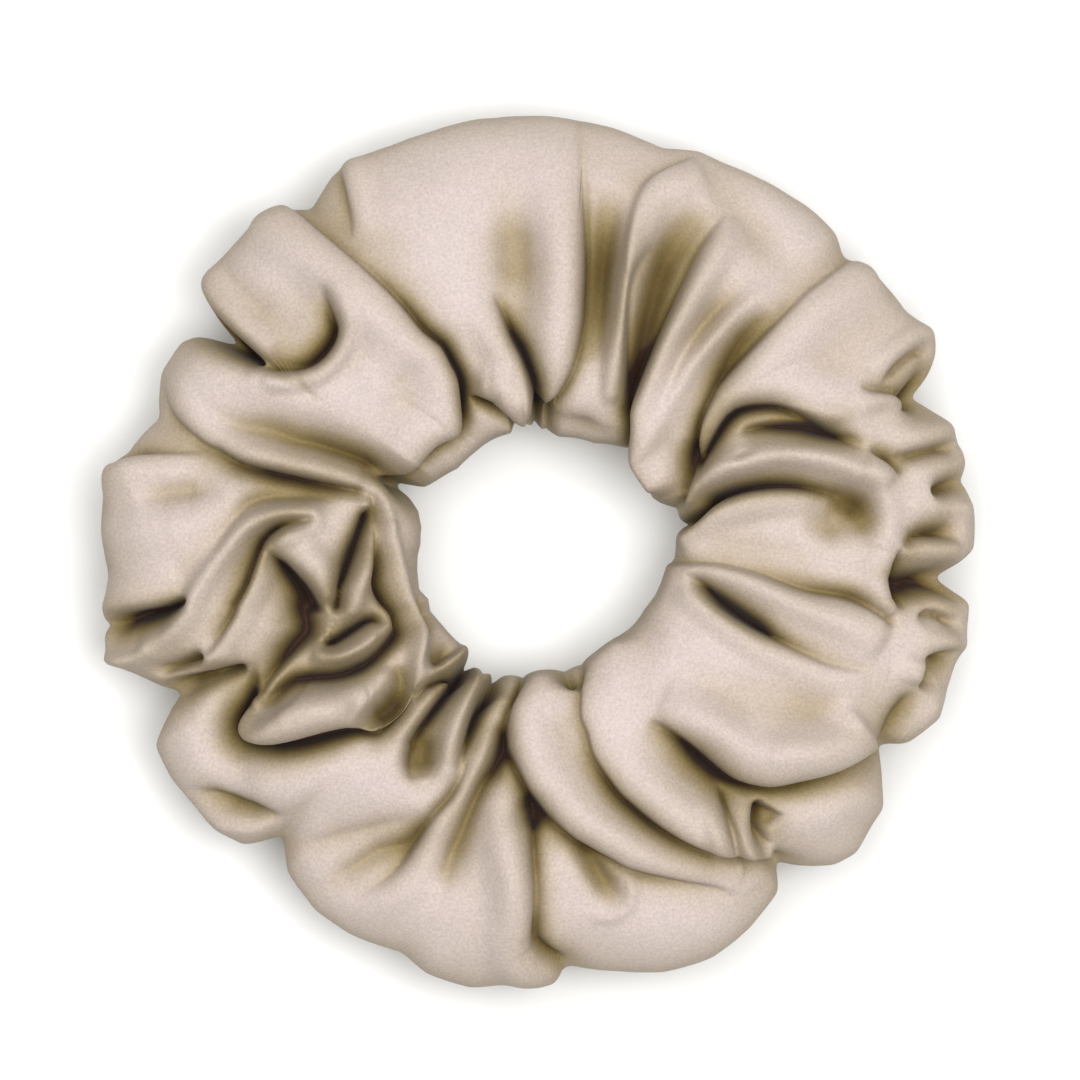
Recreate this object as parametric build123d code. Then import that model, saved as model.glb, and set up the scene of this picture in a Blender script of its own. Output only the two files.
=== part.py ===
from build123d import *

import os
from math import cos, pi, radians, sin

# A gathered satin scrunchie lying flat: a sewn cloth tube bunched up on a loop of flat elastic.
# Millimetres and degrees. The origin is the middle of the opening on the surface it lies on, +Z up,
# and angles run counter-clockwise from +X.

# Driving dimensions
OUTER_DIAMETER = 120.0
OPENING_DIAMETER = 36.0
LOFT = 26.0  # height of the bunched tube as it lies
INNER_ROUND = 9.0  # corner radius of the tube's section
CLOTH_WALL = 0.8  # the bunched cloth, pressed to one even layer
JOIN_ANGLE = 84.0  # where the tube's two ends meet

# Seams
SEAM_PLY = 0.5  # two plies of cloth at a seam allowance
SEAM_ALLOWANCE = 5.0
SEAM_CROSSING = 2.0  # degrees by which the long seam stops short of the end seam, on each side
LONG_SEAM_HEIGHT = 5.5
TURNING_GAP = 42.0  # degrees of the long seam left open for turning, closed by hand afterwards

# Elastic
ELASTIC_WIDTH = 6.0
ELASTIC_THICKNESS = 1.0
ELASTIC_RADIUS = 26.0  # mid-thickness radius of the relaxed loop
ELASTIC_HEIGHT = 9.3  # middle of its width: the relaxed loop sags below the middle of the tube
ELASTIC_LAP = 12.0
LAP_GAP = 0.04  # between the two lapped ends
RAMP_ANGLE = 60.0  # over which the outer end climbs onto the inner one

# Thread
THREAD_RADIUS = 0.125
THREAD_REST = 0.02  # clearance under a thread that lies on cloth or elastic
STITCH_BITE = 2.5  # distance of a seam's thread from the edge of the wall
ZIGZAG_LEGS = 9
ZIGZAG_HEIGHT = 4.0
HAND_STITCHES = 12
HAND_STITCH_HEIGHT = 1.3
KNOT_RADIUS = 0.45

# Worked out
tube_width = (OUTER_DIAMETER - OPENING_DIAMETER) / 2
tube_middle = (OUTER_DIAMETER + OPENING_DIAMETER) / 4
mid_height = LOFT / 2
opening_radius = OPENING_DIAMETER / 2
lap_angle = ELASTIC_LAP / ELASTIC_RADIUS * 180 / pi
lap_rise = ELASTIC_THICKNESS + LAP_GAP


def polar(radius, angle, height):
    """A point at that distance from the opening's axis."""
    return Vector(radius * cos(radians(angle)), radius * sin(radians(angle)), height)


def tube_section(inset):
    """The tube's rounded section, that far inside its outer surface, standing on the XZ plane."""
    outline = RectangleRounded(tube_width - 2 * inset, LOFT - 2 * inset, INNER_ROUND - inset)
    return Plane.XZ * Pos(tube_middle, mid_height) * outline


def wall_radius(height):
    """Radius of the opening's wall at a height on its lower corner."""
    drop = INNER_ROUND - height
    return opening_radius + INNER_ROUND - (INNER_ROUND**2 - drop**2) ** 0.5


def thread_through(points):
    """A thread of straight runs from point to point, round at each turn."""
    pieces = [Pos(point) * Sphere(THREAD_RADIUS) for point in points]
    for start, end in zip(points, points[1:]):
        run = Plane(start, z_dir=end - start)
        length = (end - start).length
        pieces.append(run * Cylinder(THREAD_RADIUS, length, align=(Align.CENTER, Align.CENTER, Align.MIN)))
    return pieces[0].fuse(*pieces[1:])


def spoke(inner, outer, angle, height, radius):
    """A round bar pointing out from the axis."""
    start = polar(inner, angle, height)
    direction = polar(1, angle, 0)
    bar = Cylinder(radius, outer - inner, align=(Align.CENTER, Align.CENTER, Align.MIN))
    return Plane(start, z_dir=direction) * bar


# The cover and its seams


def long_seam_allowance():
    """The two plies inside the tube, beside the opening's lower corner, round to the end seam's stitching."""
    root = wall_radius(LONG_SEAM_HEIGHT) + CLOTH_WALL / 2
    strip = Pos(root + SEAM_ALLOWANCE / 2, LONG_SEAM_HEIGHT) * Rectangle(SEAM_ALLOWANCE, SEAM_PLY)
    plies = revolve(Plane.XZ * strip, Axis.Z, 360 - 2 * SEAM_CROSSING)
    return Rot(0, 0, JOIN_ANGLE + SEAM_CROSSING) * plies


def end_seam_allowance():
    """The two plies where the tube's ends are sewn together, open in the middle for the elastic."""
    frame = tube_section(CLOTH_WALL / 2) - tube_section(CLOTH_WALL / 2 + SEAM_ALLOWANCE)
    return Rot(0, 0, JOIN_ANGLE) * extrude(frame, SEAM_PLY / 2, both=True)


def satin_cover():
    """The hollow cloth tube with its seam allowances inside."""
    skin = revolve(tube_section(0), Axis.Z, 360) - revolve(tube_section(CLOTH_WALL), Axis.Z, 360)
    return skin + long_seam_allowance() + end_seam_allowance()


def long_seam_thread(side):
    """The thread of one side of the long seam: above the allowance (1) or under it (-1)."""
    radius = wall_radius(LONG_SEAM_HEIGHT) + CLOTH_WALL + STITCH_BITE
    height = LONG_SEAM_HEIGHT + side * (SEAM_PLY / 2 + THREAD_REST + THREAD_RADIUS)
    start = JOIN_ANGLE + TURNING_GAP
    sweep_angle = 360 - TURNING_GAP - SEAM_CROSSING
    ring = revolve(Plane.XZ * Pos(radius, height) * Circle(THREAD_RADIUS), Axis.Z, sweep_angle)
    return Rot(0, 0, start) * ring


def end_seam_thread(side):
    """The thread of one side of the end seam, a closed loop round the tube's section."""
    path = tube_section(CLOTH_WALL + STITCH_BITE).face().outer_wire()
    start = path @ 0
    loop = sweep(Plane(start, z_dir=path % 0) * Circle(THREAD_RADIUS), path=path)
    offset = side * (SEAM_PLY / 2 + THREAD_REST + THREAD_RADIUS)
    return Rot(0, 0, JOIN_ANGLE) * Pos(0, offset, 0) * loop


def slip_stitch_thread():
    """The hand thread that closes the turning gap, a ladder across the long seam with a knot at each end."""
    first = JOIN_ANGLE + 3
    step = (TURNING_GAP - 4) / HAND_STITCHES
    points = []
    for stitch in range(HAND_STITCHES + 1):
        height = LONG_SEAM_HEIGHT + (stitch % 2 - 0.5) * HAND_STITCH_HEIGHT
        radius = wall_radius(height) - THREAD_RADIUS - 2 * THREAD_REST
        points.append(polar(radius, first + stitch * step, height))
    thread = thread_through(points)
    for end in (points[0], points[-1]):
        inward = Vector(end.X, end.Y, 0).normalized() * (KNOT_RADIUS - THREAD_RADIUS)
        thread += Pos(end - inward + Vector(0, 0, -KNOT_RADIUS / 2)) * Sphere(KNOT_RADIUS)
    return thread


# The elastic loop


def elastic_centre(angle):
    """Radius of the strip's mid-thickness, by angle from the start of its inner end."""
    ramp_start = 360 - RAMP_ANGLE
    share = min(max((angle - ramp_start) / RAMP_ANGLE, 0), 1)
    return ELASTIC_RADIUS + lap_rise * share**2 * (3 - 2 * share)


def stitch_corners():
    """Angle and height of each corner of the zigzag over the lap."""
    spread = 0.8 * lap_angle
    corners = []
    for corner in range(ZIGZAG_LEGS + 1):
        angle = JOIN_ANGLE - spread / 2 + spread * corner / ZIGZAG_LEGS
        corners.append((angle, ELASTIC_HEIGHT + (corner % 2 - 0.5) * ZIGZAG_HEIGHT))
    return corners


def elastic_band():
    """A flat woven strip whose outer end laps over its inner end, with a needle hole at each stitch."""
    begin = JOIN_ANGLE - lap_angle / 2
    whole = 360 + lap_angle
    steps = 48
    sides = []
    for offset in (-ELASTIC_THICKNESS / 2, ELASTIC_THICKNESS / 2):
        angles = [whole * step / steps for step in range(steps + 1)]
        sides.append([polar(elastic_centre(a) + offset, begin + a, 0) for a in angles])
    inner, outer = (Spline(*side) for side in sides)
    outline = Wire([inner, Line(sides[0][-1], sides[1][-1]), outer, Line(sides[1][0], sides[0][0])])
    strip = extrude(Face(outline), ELASTIC_WIDTH, dir=(0, 0, 1))
    strip = Pos(0, 0, ELASTIC_HEIGHT - ELASTIC_WIDTH / 2) * strip
    reach = ELASTIC_THICKNESS + lap_rise
    for angle, height in stitch_corners():
        inside = ELASTIC_RADIUS - ELASTIC_THICKNESS
        strip -= spoke(inside, inside + 2 * reach, angle, height, THREAD_RADIUS + THREAD_REST)
    return strip


def elastic_join_thread(outside):
    """One of the two threads of the zigzag: outside the lap, or inside it, tied at the middle of the lap."""
    lay = ELASTIC_THICKNESS / 2 + THREAD_REST + THREAD_RADIUS
    meeting = ELASTIC_RADIUS + ELASTIC_THICKNESS / 2 + LAP_GAP / 2
    if outside:
        surface = ELASTIC_RADIUS + lap_rise + lay
        shank = (meeting, surface)
    else:
        surface = ELASTIC_RADIUS - lay
        shank = (surface, meeting - THREAD_REST)
    corners = stitch_corners()
    thread = thread_through([polar(surface, angle, height) for angle, height in corners])
    for angle, height in corners:
        thread += spoke(*shank, angle, height, THREAD_RADIUS)
    return thread


NODES = {
    "satin_cover": satin_cover(),
    "elastic_band": elastic_band(),
    "elastic_join_needle_thread": elastic_join_thread(outside=True),
    "elastic_join_bobbin_thread": elastic_join_thread(outside=False),
    "long_seam_needle_thread": long_seam_thread(1),
    "long_seam_bobbin_thread": long_seam_thread(-1),
    "end_seam_needle_thread": end_seam_thread(1),
    "end_seam_bobbin_thread": end_seam_thread(-1),
    "slip_stitch_thread": slip_stitch_thread(),
}

os.makedirs("parts", exist_ok=True)
for name, shape in NODES.items():
    export_step(shape, f"parts/{name}.step")
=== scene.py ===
from math import cos, pi, radians, sin, tau

import bpy
import numpy as np
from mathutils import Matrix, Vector
from mathutils.bvhtree import BVHTree


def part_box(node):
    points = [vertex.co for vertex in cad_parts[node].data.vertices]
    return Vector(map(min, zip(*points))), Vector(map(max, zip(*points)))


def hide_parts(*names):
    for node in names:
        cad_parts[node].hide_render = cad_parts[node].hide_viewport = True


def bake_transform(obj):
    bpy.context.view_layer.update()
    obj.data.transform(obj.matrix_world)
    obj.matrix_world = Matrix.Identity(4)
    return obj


# A gathered satin scrunchie. The sculpting is in millimetres and degrees, in the CAD frame: the origin
# is the middle of the opening on the surface it lies on, and angles run counter-clockwise from +X.
# Places on the ring are (radius, angle) pairs.

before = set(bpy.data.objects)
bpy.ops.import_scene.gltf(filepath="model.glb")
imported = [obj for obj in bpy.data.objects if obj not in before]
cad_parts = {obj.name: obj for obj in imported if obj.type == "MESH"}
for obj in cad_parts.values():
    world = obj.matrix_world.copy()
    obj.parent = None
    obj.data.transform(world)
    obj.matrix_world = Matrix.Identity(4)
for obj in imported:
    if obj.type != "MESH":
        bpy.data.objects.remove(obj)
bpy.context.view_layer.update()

MM = 0.001
_, cover_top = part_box("satin_cover")
MID_HEIGHT = cover_top[2] / 2  # metres
JOIN_ANGLE = 84.0  # where the tube's two ends meet

# The cover's grid
COLUMNS = 960  # round the ring
ROWS = 300  # round the tube's section
HALF_WIDTH, HALF_HEIGHT = 21.0, 11.0  # of a usual section, to space its rows and turn its normals
LOW, HIGH = 0.15, 22.5  # of the bunched tube before it is folded
CLOTH = 0.35  # thickness
ELASTIC_RADIUS = 26.5  # no fold comes down onto the elastic inside
WALL_DROP = 6.0  # the most that a fold drops where it turns down the opening's wall

# The seams
SEAM_HEIGHT = 5.5  # the long seam, on the opening's wall
SEAM_ALLOWANCE = 5.0
SEAM_PLY = 0.5  # two plies of cloth
SEAM_START = 0.3  # the allowances begin this far inside the cover
TURNING_GAP = 42.0  # degrees of the long seam that are closed by hand
HAND_STITCHES = 12
HAND_STITCH_HEIGHT = 1.3

# The elastic, and the threads
BAND_RADIUS, BAND_HEIGHT = 26.0, 9.3
BAND_WIDTH, BAND_THICKNESS = 6.0, 1.0
BAND_RIBS = 8
YARN_PITCH = 0.8  # of the elastic's slanted yarns
LAP, LAP_GAP = 12.0, 0.04
LAP_ANGLE = LAP / BAND_RADIUS * 180 / pi
LAP_RISE = BAND_THICKNESS + LAP_GAP
RAMP_ANGLE = 60.0  # over which the outer end climbs onto the inner one
ZIGZAG_LEGS = 9
ZIGZAG_HEIGHT = 4.0
THREAD_RADIUS = 0.125
THREAD_REST = 0.02  # clearance under a thread
THREAD_TWIST = 1.4  # length in which the two plies turn once
STITCH_BITE = 3.3  # how far inside the cover a seam's thread lies
STITCH_LENGTH = 2.4
STITCH_DIP = 0.25  # how far a stitch is pulled down into the cloth

# Outline and opening as they lie, (radius, angle)
OUTLINE = [
    (59.8, 0), (60, 5), (59.5, 10), (59.9, 13), (59.1, 17), (57.0, 20), (56.1, 22), (59.9, 24), (61.4, 27),
    (62, 29), (60.3, 33), (59.8, 40), (58.1, 44), (59.7, 47), (59.7, 53), (59.5, 61), (59.1, 68), (57.7, 73),
    (58.1, 76), (59.1, 80), (59.4, 84), (59.6, 93), (59.9, 98), (59.5, 104), (59.4, 111), (59.3, 118),
    (56.5, 124), (58.6, 127), (59.4, 133), (59.6, 138), (59, 143), (56, 144.5), (50.3, 146), (55.5, 148),
    (57.1, 150), (57.5, 155), (55.4, 161), (58.5, 167), (60.5, 168.5), (60.7, 169.5), (60.6, 178),
    (59.2, 186), (61.5, 191), (60.9, 195), (56.4, 199), (53.6, 202), (57.5, 205), (59.8, 207), (60.1, 212),
    (59.4, 221), (57.9, 225), (53, 228), (56.4, 232), (58.8, 238), (59.3, 243), (59, 251), (60.8, 255),
    (61.1, 261), (60, 265), (59.6, 272), (57.6, 274), (58.9, 280), (60.5, 286), (61.1, 293), (59.7, 299),
    (57.3, 305), (53.8, 307), (56, 309), (59.3, 313), (60.3, 316), (59.3, 323), (56.8, 326), (53.9, 330),
    (57, 332), (59.8, 337), (59.5, 342), (60, 348), (60.1, 353), (55.5, 356),
]
OPENING = [
    (18.6, 1.3), (18.9, 5.8), (19.2, 15.8), (17.4, 20.9), (15.8, 29.7), (17.5, 40), (18, 47), (16.1, 63),
    (15.3, 80.6), (15.7, 89.5), (16.4, 93.4), (17.4, 96.4), (18.8, 98.4), (18.1, 101.8), (17, 104),
    (16.1, 123), (15.9, 135.7), (17.2, 152), (20.1, 156.2), (18.3, 158.4), (17, 162.6), (16.2, 169.7),
    (16.1, 177.6), (16.5, 183.3), (16.9, 190.8), (17.1, 198.3), (16.3, 204), (16.6, 209.3), (16.8, 228.3),
    (17.2, 238.7), (19.1, 245.3), (18.1, 248.1), (17.2, 253.3), (17.2, 259.4), (17.1, 265.4), (16.9, 269.5),
    (16.4, 288.6), (16, 301), (15.8, 309.4), (16.3, 318.8), (16.6, 330.3), (17.1, 337.8), (17.3, 344.7),
    (17.4, 352.3), (18.3, 356.1),
]

ACROSS_JOIN = np.array([-sin(radians(JOIN_ANGLE)), cos(radians(JOIN_ANGLE)), 0])
# Sides of the way a stroke runs. For a stroke that runs inwards, RIGHT is its counter-clockwise side.
LEFT, RIGHT = 1, -1


# Strokes


def polar_points(points):
    """(x, y) of (radius, angle) pairs."""
    points = np.array(points, float)
    angle = np.radians(points[:, 1])
    return np.stack([points[:, 0] * np.cos(angle), points[:, 0] * np.sin(angle)], 1)


def smooth_curve(points, spacing, least):
    """A Catmull-Rom curve through given points, with at least so many steps from each to the next."""
    p = np.array(points, float)
    p = np.vstack([2 * p[0] - p[1], p, 2 * p[-1] - p[-2]])
    out = []
    for a, b, c, d in zip(p, p[1:], p[2:], p[3:]):
        count = max(least, int(np.linalg.norm(c - b) / spacing))
        t = np.linspace(0, 1, count, endpoint=False)[:, None]
        bend, twist = 2 * a - 5 * b + 4 * c - d, 3 * b - a - 3 * c + d
        out.append(0.5 * (2 * b + (c - a) * t + bend * t**2 + twist * t**3))
    return np.vstack(out + [p[-2][None]])


def nearest(line, x, y):
    """The nearest place on a line to each (x, y): signed distance (left is positive), share of the line's
    length, distance along it to its nearer end, and the line's normal."""
    best = np.full(x.shape, 1e9)
    side = np.zeros(x.shape)
    share = np.zeros(x.shape)
    nx, ny = np.zeros(x.shape), np.zeros(x.shape)
    steps = np.diff(line, axis=0)
    lengths = np.hypot(steps[:, 0], steps[:, 1])
    starts = np.concatenate([[0], np.cumsum(lengths)])
    for k, (start, step, length) in enumerate(zip(line, steps, lengths)):
        ux, uy = step / length
        rx, ry = x - start[0], y - start[1]
        along = np.clip(rx * ux + ry * uy, 0, length)
        away = np.hypot(rx - along * ux, ry - along * uy)
        closer = away < best
        best = np.where(closer, away, best)
        side = np.where(closer, np.sign(ux * ry - uy * rx), side)
        share = np.where(closer, (starts[k] + along) / starts[-1], share)
        nx, ny = np.where(closer, -uy, nx), np.where(closer, ux, ny)
    end = np.minimum(share, 1 - share) * starts[-1]
    return best * np.where(side == 0, 1, side), share, end, nx, ny


def along(share, values):
    """The value at each share of a stroke's length, from one number or numbers evenly spaced along it."""
    values = np.atleast_1d(np.array(values, float))
    return np.interp(share, np.linspace(0, 1, len(values)), values)


def smoothstep(low, high, value):
    """0 up to low, 1 from high on, and an S between them."""
    t = np.clip((value - low) / (high - low), 0, 1)
    return t * t * (3 - 2 * t)


class Sculpt:
    """Height and lean to add at each point (x, y) of one face of the ring, seen from above."""

    def __init__(self, x, y):
        self.x, self.y = x, y
        self.height = np.zeros(x.shape)
        self.lean_x, self.lean_y = np.zeros(x.shape), np.zeros(x.shape)

    def near(self, points, reach):
        """Which points are near a stroke, and what nearest() says of them."""
        line = smooth_curve(polar_points(points), spacing=1, least=2)
        low, high = line.min(0) - reach, line.max(0) + reach
        inside = (self.x > low[0]) & (self.x < high[0]) & (self.y > low[1]) & (self.y < high[1])
        where = np.nonzero(inside)
        return where, *nearest(line, self.x[where], self.y[where])

    def valley(self, points, depth, width):
        """A fold's valley, V-shaped with a rounded bottom."""
        where, d, share, *_ = self.near(points, 6 * np.max(width))
        w = along(share, width)
        bottom = np.maximum(0.15 * w, 0.3)
        shape = np.exp(-(np.sqrt(d * d + bottom**2) - bottom) / w)
        self.height[where] -= along(share, depth) * shape

    def ridge(self, points, height, width):
        """A soft rounded ridge, or a swelling where it is wide, or a pool where the height is negative."""
        where, d, share, *_ = self.near(points, 3 * np.max(width))
        self.height[where] += along(share, height) * np.exp(-((d / along(share, width)) ** 2))

    def edge(self, points, over, step, crease, lip=2.2, reach=9.0, spread=2.2, lean=0.7):
        """A lobe's rounded edge lying over what is beside it, with a crease where it comes down."""
        where, d, share, end, nx, ny = self.near(points, max(reach, 5 * np.max(spread)))
        d = d * over - along(share, lean) * 0.8  # set back, as the lean brings the lip out again
        step, crease = along(share, step), along(share, crease)
        fade = smoothstep(0, 2, end)
        # the lobe's own side: up its round lip, then a long fall to nothing
        t = np.clip(d / lip, 0, 1)
        rise = np.sqrt(1 - (1 - t) ** 2)
        fall = 0.5 * (1 + np.cos(pi * np.clip((d - lip) / (reach - lip), 0, 1)))
        upper = np.where(d > lip, step * fall, -crease + (step + crease) * rise)
        # the side it lies over: a narrow slot in a wider hollow
        away = (np.hypot(d, 0.35) - 0.35) / along(share, spread)
        lower = -crease * (0.65 * np.exp(-away) + 0.35 * np.exp(-3 * away))
        self.height[where] += np.where(d > 0, upper, lower) * fade
        shift = along(share, lean) * rise * np.exp(-((d / 2.5) ** 2)) * smoothstep(0, 0.9, d)
        shift *= -over * np.minimum(step / 2, 1) * fade
        self.lean_x[where] += nx * shift
        self.lean_y[where] += ny * shift


def sculpt_top(s):
    """Every fold of the upper side, named by where it lies on a clock face."""
    # twelve o'clock: the big puff's edge over a broad smooth lobe, which has a dimple that deepens inwards
    s.edge([(61.6, 126.6), (56.5, 124.9), (41.4, 119.5), (33.9, 116.8), (31.2, 114.5), (27.8, 113.9),
        (25.1, 113.9), (20.4, 118.1), (18.8, 121.3), (18, 126), (18.7, 135.6), (18.6, 145.8),
        (18.6, 154.2), (19.5, 161.1)], RIGHT, step=(2, 2.5, 2.5, 3, 3, 2.5, 2),
        crease=(0.8, 1, 1.4, 2.5, 4.5, 6, 5, 3), spread=(0.7, 0.8, 1.1, 1.2, 1.1), lip=3.5, lean=1)
    s.edge([(22.5, 116.9), (20.8, 109.8), (19.4, 105.6), (18.6, 93), (19.2, 86.7)], LEFT,
        step=(0.5, 2, 2, 2, 0.5), crease=(2, 5, 4, 5, 1), spread=1.02, lip=2.8, reach=6)
    s.edge([(60.8, 117.8), (52.9, 120.3), (49.2, 122.1)], LEFT, step=(1.4, 1.4, 1, 0.6, 0),
        crease=(1.8, 1.8, 1.4, 0.8, 0), reach=5, spread=1.1)
    s.ridge([(57, 108), (45, 108), (33, 107), (22, 106)], height=(0.6, 1.4, 1.8, 1), width=6)
    s.ridge([(58, 89), (45, 88.5), (33, 87), (22, 87)], height=(0.5, 1, 1.2, 0.8), width=4)
    s.ridge([(47.5, 94.3), (42, 94.7), (33.7, 94.7)], height=(-0.6, -2.3, -2.3, -1), width=3.3)
    s.ridge([(37.8, 127.7), (28.7, 125.1), (25.4, 125.1)], height=(-0.4, -1.6, -2, -1), width=2.8)
    s.edge([(36.5, 100), (33.2, 98.3), (29.6, 96.7), (26.8, 94.4), (23.3, 92), (20.5, 91.2),
        (13.6, 91.2)], RIGHT, step=(0, 1.2, 2, 2, 1.5, 1), crease=(0, 2.5, 6, 7, 6, 6),
        spread=(1.87, 1.53, 1.27), reach=6)
    # the closing seam, and the pleats between one and two o'clock
    s.edge([(63.6, 85.3), (58.6, 84.2), (47.1, 81.9), (40.6, 80.3), (33.9, 78.8), (31.1, 78.2),
        (25.6, 78.2), (20.7, 81.6), (18.8, 85), (16.7, 85.7), (13.4, 84.1)], RIGHT,
        step=(0.12, 0.15, 0.5, 1.4, 2, 2, 1.6, 1.2, 1),
        crease=(0.6, 0.5, 0.8, 2.5, 3.5, 3.5, 2.5, 2, 2.5, 2.5), spread=(0.5, 0.7, 1.36, 1.53, 1.02),
        lip=3)
    s.ridge([(51.1, 78.5), (47.6, 78.5), (35.6, 75.9), (31.2, 74.9), (25.8, 75.1)],
        height=(0, -2, -3.8, -4.6, -4.6, -3.8, -2, 0), width=2.1)
    s.ridge([(17.4, 61.6), (17.3, 80.8)], height=(-0.8, -1.6, -1), width=1.8)
    s.edge([(59.3, 68.5), (55.1, 72.4), (53.2, 74.1), (51.3, 75.1), (48.6, 75.6), (46, 75.6),
        (43.1, 75.4), (38.2, 74.1)], LEFT, step=(1.2, 1.2, 1.2, 0.6), crease=(0.8, 1, 1, 0),
        spread=1.87, reach=6, lip=3)
    s.ridge([(54, 71.6), (49.5, 73.4), (45.1, 73.9), (40.1, 73.1), (26.8, 67), (22.8, 64.2)],
        height=(0.4, 1.2, 1.8, 2, 2, 1.6, 1.2, 0.6), width=1.7)
    s.edge([(45.4, 68.5), (42.8, 69.5), (40.4, 70.1), (37.8, 70), (31.7, 66.8), (22.9, 57.7)], RIGHT,
        step=(0, 1, 1, 1, 0.8), crease=(0, 1.5, 2.5, 3, 3, 3), spread=0.94, reach=4)
    s.ridge([(53.3, 64.3), (46, 65.8), (42.4, 66.3), (34, 64.6), (26.1, 60.6)],
        height=(0, -2.8, -4.8, -5.8, -5.8, -5.2, -4, -2.5), width=(1.8, 2.6, 2.6, 2.3, 1.9, 1.5, 1.1))
    s.edge([(54.4, 61.6), (48.1, 62.6), (43.2, 62.7), (30.7, 61.6), (23.4, 59.7), (20.6, 55.9),
        (17, 43.4), (15.7, 22.1)], LEFT, step=(0.3, 0.8, 1.2, 1.5, 1.8, 2, 2, 2),
        crease=(0.3, 1.5, 3, 3.5, 4, 5, 5.5, 5.5, 5.5, 5), spread=1.02, reach=6)
    s.ridge([(52.4, 58.3), (42.6, 58.5), (38, 57.9), (33.8, 57.8), (28.7, 56.5), (24.9, 54.5),
        (15.2, 38.7)], height=(0, 0.8, 1.3, 1.6, 1.6, 1.2, 0.8, 0.7, 0.6, 0.6), width=2)
    s.ridge([(56.6, 67.1), (54.4, 60.5), (52.6, 53.9), (52.4, 48.9)], height=(-0.4, -1.6, -1.8, -0.6),
        width=3.4)
    s.valley([(45.5, 51.6), (44, 52.4), (41.3, 53.4), (38.4, 54), (35.2, 54.1), (31.8, 53.3),
        (28.3, 51.5), (23.5, 49)], depth=(0, 1.2, 2.2, 2.6, 2.6, 2.2, 1.4, 0.6), width=2)
    s.ridge([(48.1, 48), (44.7, 49.2), (41.4, 50.1), (34.6, 50.8), (31.4, 50.5), (20.4, 43.4),
        (14.9, 31.8)], height=(0.3, 1.4, 2.2, 2.4, 2.4, 2.2, 1.8, 1.4, 1, 0.8), width=1.7)
    s.valley([(45.6, 45.6), (40.6, 46), (38.4, 45.7), (32.1, 42.9)], depth=(0, 1.8, 3, 3, 2.2, 0.8),
        width=1.3)
    s.edge([(61.6, 42.6), (58.1, 43.6), (53.2, 44.3), (48.9, 44.7), (35, 44), (30.9, 42.3),
        (28.9, 40.7), (27, 38.4), (25, 34.2), (24.1, 31), (23.8, 27.6), (24.7, 26.9), (28.5, 31.8),
        (31.6, 34.2), (33.9, 33.8), (37, 31.1), (39, 28.2), (40.9, 24.8), (44.9, 18), (47.4, 15.5)],
        LEFT, step=(1.5, 2, 2.5, 2.5, 2.5, 2.5, 2.5, 2.5, 2.5, 2, 1, 0),
        crease=(0.3, 0.5, 0.8, 1.3, 2, 2.8, 4.4, 6, 6, 4.2, 2, 0),
        spread=(0.6, 0.8, 1, 1, 0.94, 1.1, 1.3, 1.3), lip=3, lean=0.8)
    s.valley([(25.6, 35.8), (22.1, 26.2), (18.8, 16.6)], depth=(1, 5, 6, 5, 3), width=1.1)
    # three o'clock: nested arcs
    s.edge([(31, 30.1), (32.7, 29.5), (35, 28.2), (39.8, 24.5), (43.2, 21.5), (47.4, 17.9)], LEFT,
        step=(0.3, 1, 1, 1, 0.5, 0), crease=(1.5, 3, 5, 6.5, 6, 3, 0), spread=0.95, reach=4, lean=0.4)
    s.ridge([(18.9, 7.1), (19.8, 14.9), (21.5, 21), (23.7, 24), (26.6, 24.4), (29.3, 23.8),
        (34.7, 21.9), (37.5, 20.2), (40.1, 18.2), (42.8, 15.9), (45, 13.4), (46.8, 10.7), (47.6, 7.1),
        (47.7, 3.1)], height=(1, 2.6, 3.2, 3.4, 3.2, 3, 2.8, 2.2, 1.4, 0.6), width=2)
    s.valley([(28.4, 25.6), (30.5, 25.4), (32.4, 24.6)], depth=(0, 1.2, 0), width=0.6)
    s.edge([(17, 8.9), (20.2, 11.8), (23.8, 16.1), (27, 16.9), (29.7, 16.7), (32.6, 15.9), (35.3, 14.7),
        (37.9, 13.2), (42.8, 10.2)], RIGHT, step=(0.6, 1, 1.4, 1.4, 1, 0.5, 0),
        crease=(6, 8, 8, 7, 5.5, 5, 4.5, 3, 1), spread=(0.85, 1.1, 1.2, 1), reach=5, lip=2)
    s.ridge([(40, 10.3), (42.2, 9.2), (44.2, 7.7), (45.1, 5.4)], height=(-1.5, -4, -4.5, -2), width=2)
    s.ridge([(36, 6.1), (39.8, 5), (43.9, 5.2)], height=(-0.8, -3.2, -2), width=2.6)
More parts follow.
